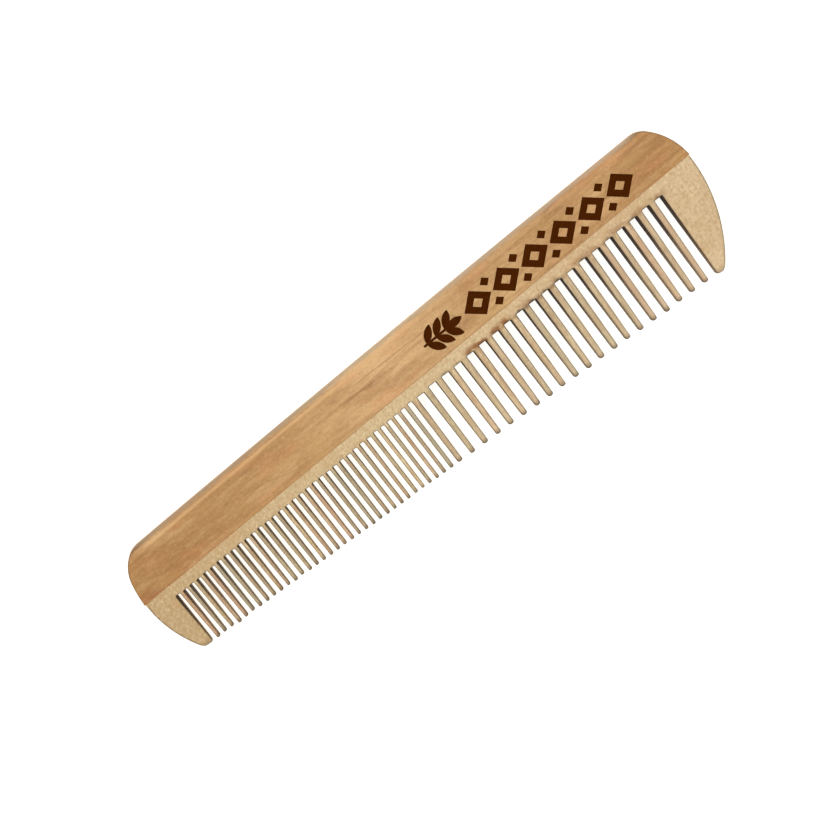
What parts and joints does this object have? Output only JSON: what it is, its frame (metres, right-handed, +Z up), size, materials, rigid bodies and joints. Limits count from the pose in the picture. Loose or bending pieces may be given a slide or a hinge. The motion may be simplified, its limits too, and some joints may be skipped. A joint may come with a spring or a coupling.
{
  "type": "beard comb",
  "caption": "Flat two-wood pocket beard comb with fine teeth on one half, wide teeth on the other, a guard at each end and a burnt leaf and lozenge ornament.",
  "frame": {"origin": "centre of the comb's outline seen from above, on the underside that it lies on", "axes": "+X along the comb towards the wide teeth, +Y towards the back with the teeth along -Y, +Z up through the thickness, out of the ornamented face"},
  "size_m": [0.1602, 0.0378, 0.0042],
  "materials": {
    "spine_wood": "sanded and lightly oiled, satin, lengthwise grain",
    "tooth_wood": "sanded and lightly oiled, satin, grain along the teeth",
    "cured_glue": "amber cured wood glue, satin"
  },
  "bodies": {
    "root": {"spine": "spine_wood", "tooth_board": "tooth_wood", "fine_teeth": "tooth_wood", "coarse_teeth": "tooth_wood", "glue_line": "cured_glue"}
  },
  "joints": []
}
